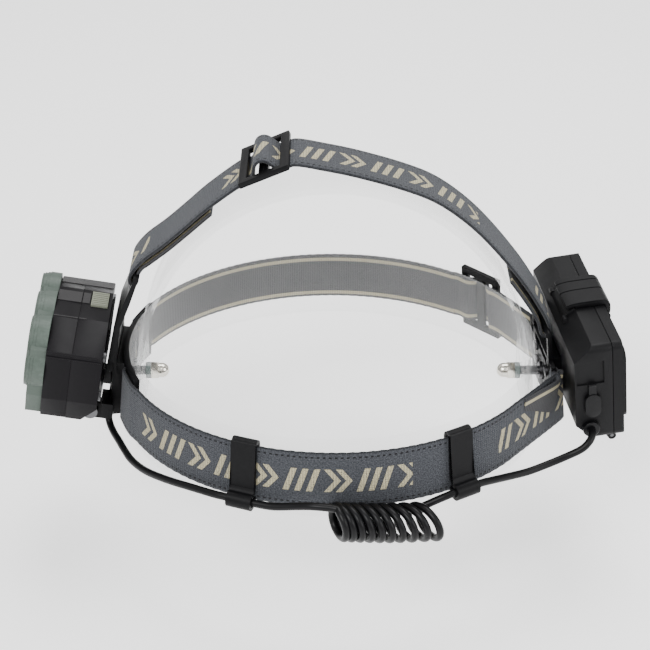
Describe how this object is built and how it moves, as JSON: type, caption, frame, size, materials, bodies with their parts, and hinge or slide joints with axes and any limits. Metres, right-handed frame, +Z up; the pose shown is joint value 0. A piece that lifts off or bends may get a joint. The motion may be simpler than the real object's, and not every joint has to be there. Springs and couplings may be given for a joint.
{
  "type": "cap lamp",
  "caption": "Cap lamp with a tilting multi-window lamp head, rear battery box, webbing head and crown straps, curled lead and clear display former.",
  "frame": {"origin": "centre of the head band, halfway up its webbing", "axes": "+Z up towards the crown, -X forwards to the lamp, +X rearwards to the battery box"},
  "size_m": [0.258, 0.1841, 0.1339],
  "materials": {
    "clear_plastic": "clear moulded plastic, slightly frosted",
    "bright_steel": "bright nickel plate",
    "steel": "plain steel",
    "nut_plastic": "smoky translucent nylon",
    "black_plastic": "fine moulded texture",
    "lamp_black": "satin black moulding",
    "box_black": "charcoal, fine spark texture",
    "webbing": "elastic webbing, slate heather with beige weave",
    "lead_rubber": "smooth black jacket",
    "sage_plastic": "sage green moulding",
    "switch_rubber": "ribbed sage-beige rubber",
    "clear_lens": "polished",
    "reflector": "vacuum metallised",
    "circuit_white": "white solder mask",
    "led_yellow": "phosphor",
    "aluminium": "extruded",
    "circuit_green": "green solder mask",
    "seal_rubber": "moulded seal",
    "cell_wrap": "shrink wrap"
  },
  "bodies": {
    "headset": {"form_ring": "clear_plastic", "form_arch": "clear_plastic", "form_spacers": "clear_plastic", "form_bolts": "steel", "hex_nuts": "nut_plastic", "acorn_nuts": "bright_steel", "front_plate": "black_plastic", "hinge_yoke": "black_plastic", "hinge_pin": "steel", "hinge_nut": "steel", "friction_washers": "steel", "rear_plate": "black_plastic", "box_screws": "steel", "side_strap_near": "webbing", "side_strap_far": "webbing", "crown_strap": "webbing", "crown_tail": "webbing", "crown_slider": "black_plastic", "side_slider": "black_plastic", "strap_clips": "black_plastic", "lead_gland_front": "lead_rubber", "lead_front": "lead_rubber", "lead_coil": "lead_rubber", "lead_rear": "lead_rubber", "lead_gland_rear": "lead_rubber", "box_base": "box_black", "box_seal": "seal_rubber", "battery_cells": "cell_wrap", "contact_springs": "bright_steel", "contact_plates": "bright_steel", "charge_board": "circuit_green", "charge_socket": "bright_steel", "cover_hinge_pin": "steel"},
    "lamp": {"lamp_bezel": "sage_plastic", "lamp_front_housing": "lamp_black", "lamp_rear_cover": "lamp_black", "rear_panel": "lamp_black", "lens": "clear_lens", "reflectors": "reflector", "led_board": "circuit_white", "led_chips": "led_yellow", "heat_sink": "aluminium", "driver_board": "circuit_green", "lamp_seal": "seal_rubber", "lamp_screws": "steel", "tact_switch": "black_plastic"},
    "switch": {"switch_button": "switch_rubber"},
    "cover": {"box_cover": "box_black", "latch_pin": "steel"},
    "latch": {"latch": "box_black"},
    "plug": {"port_plug": "lead_rubber"}
  },
  "joints": [
    {"name": "lamp_tilt", "type": "hinge", "parent": "headset", "child": "lamp", "pos_m": [-0.10668, -0.0002, -0.01143], "axis": [0.0262, -0.9997, 0], "range_deg": [0, 60]},
    {"name": "switch_press", "type": "slide", "parent": "lamp", "child": "switch", "axis": [-0.1822, -0.0048, -0.9833], "range_m": [0, 0.001], "stiffness_N_per_m": 1500},
    {"name": "cover_swing", "type": "hinge", "parent": "headset", "child": "cover", "pos_m": [0.11552, 0.00068, -0.01201], "axis": [-0.1045, 0.9945, 0], "range_deg": [0, 100]},
    {"name": "latch_lift", "type": "hinge", "parent": "cover", "child": "latch", "pos_m": [0.11535, 0.00066, 0.03316], "axis": [-0.1045, 0.9945, 0], "range_deg": [0, 75]},
    {"name": "plug_flip", "type": "hinge", "parent": "headset", "child": "plug", "pos_m": [0.10737, -0.04025, 0.01758], "axis": [0.9881, 0.1039, 0.1132], "range_deg": [-120, 0]}
  ]
}
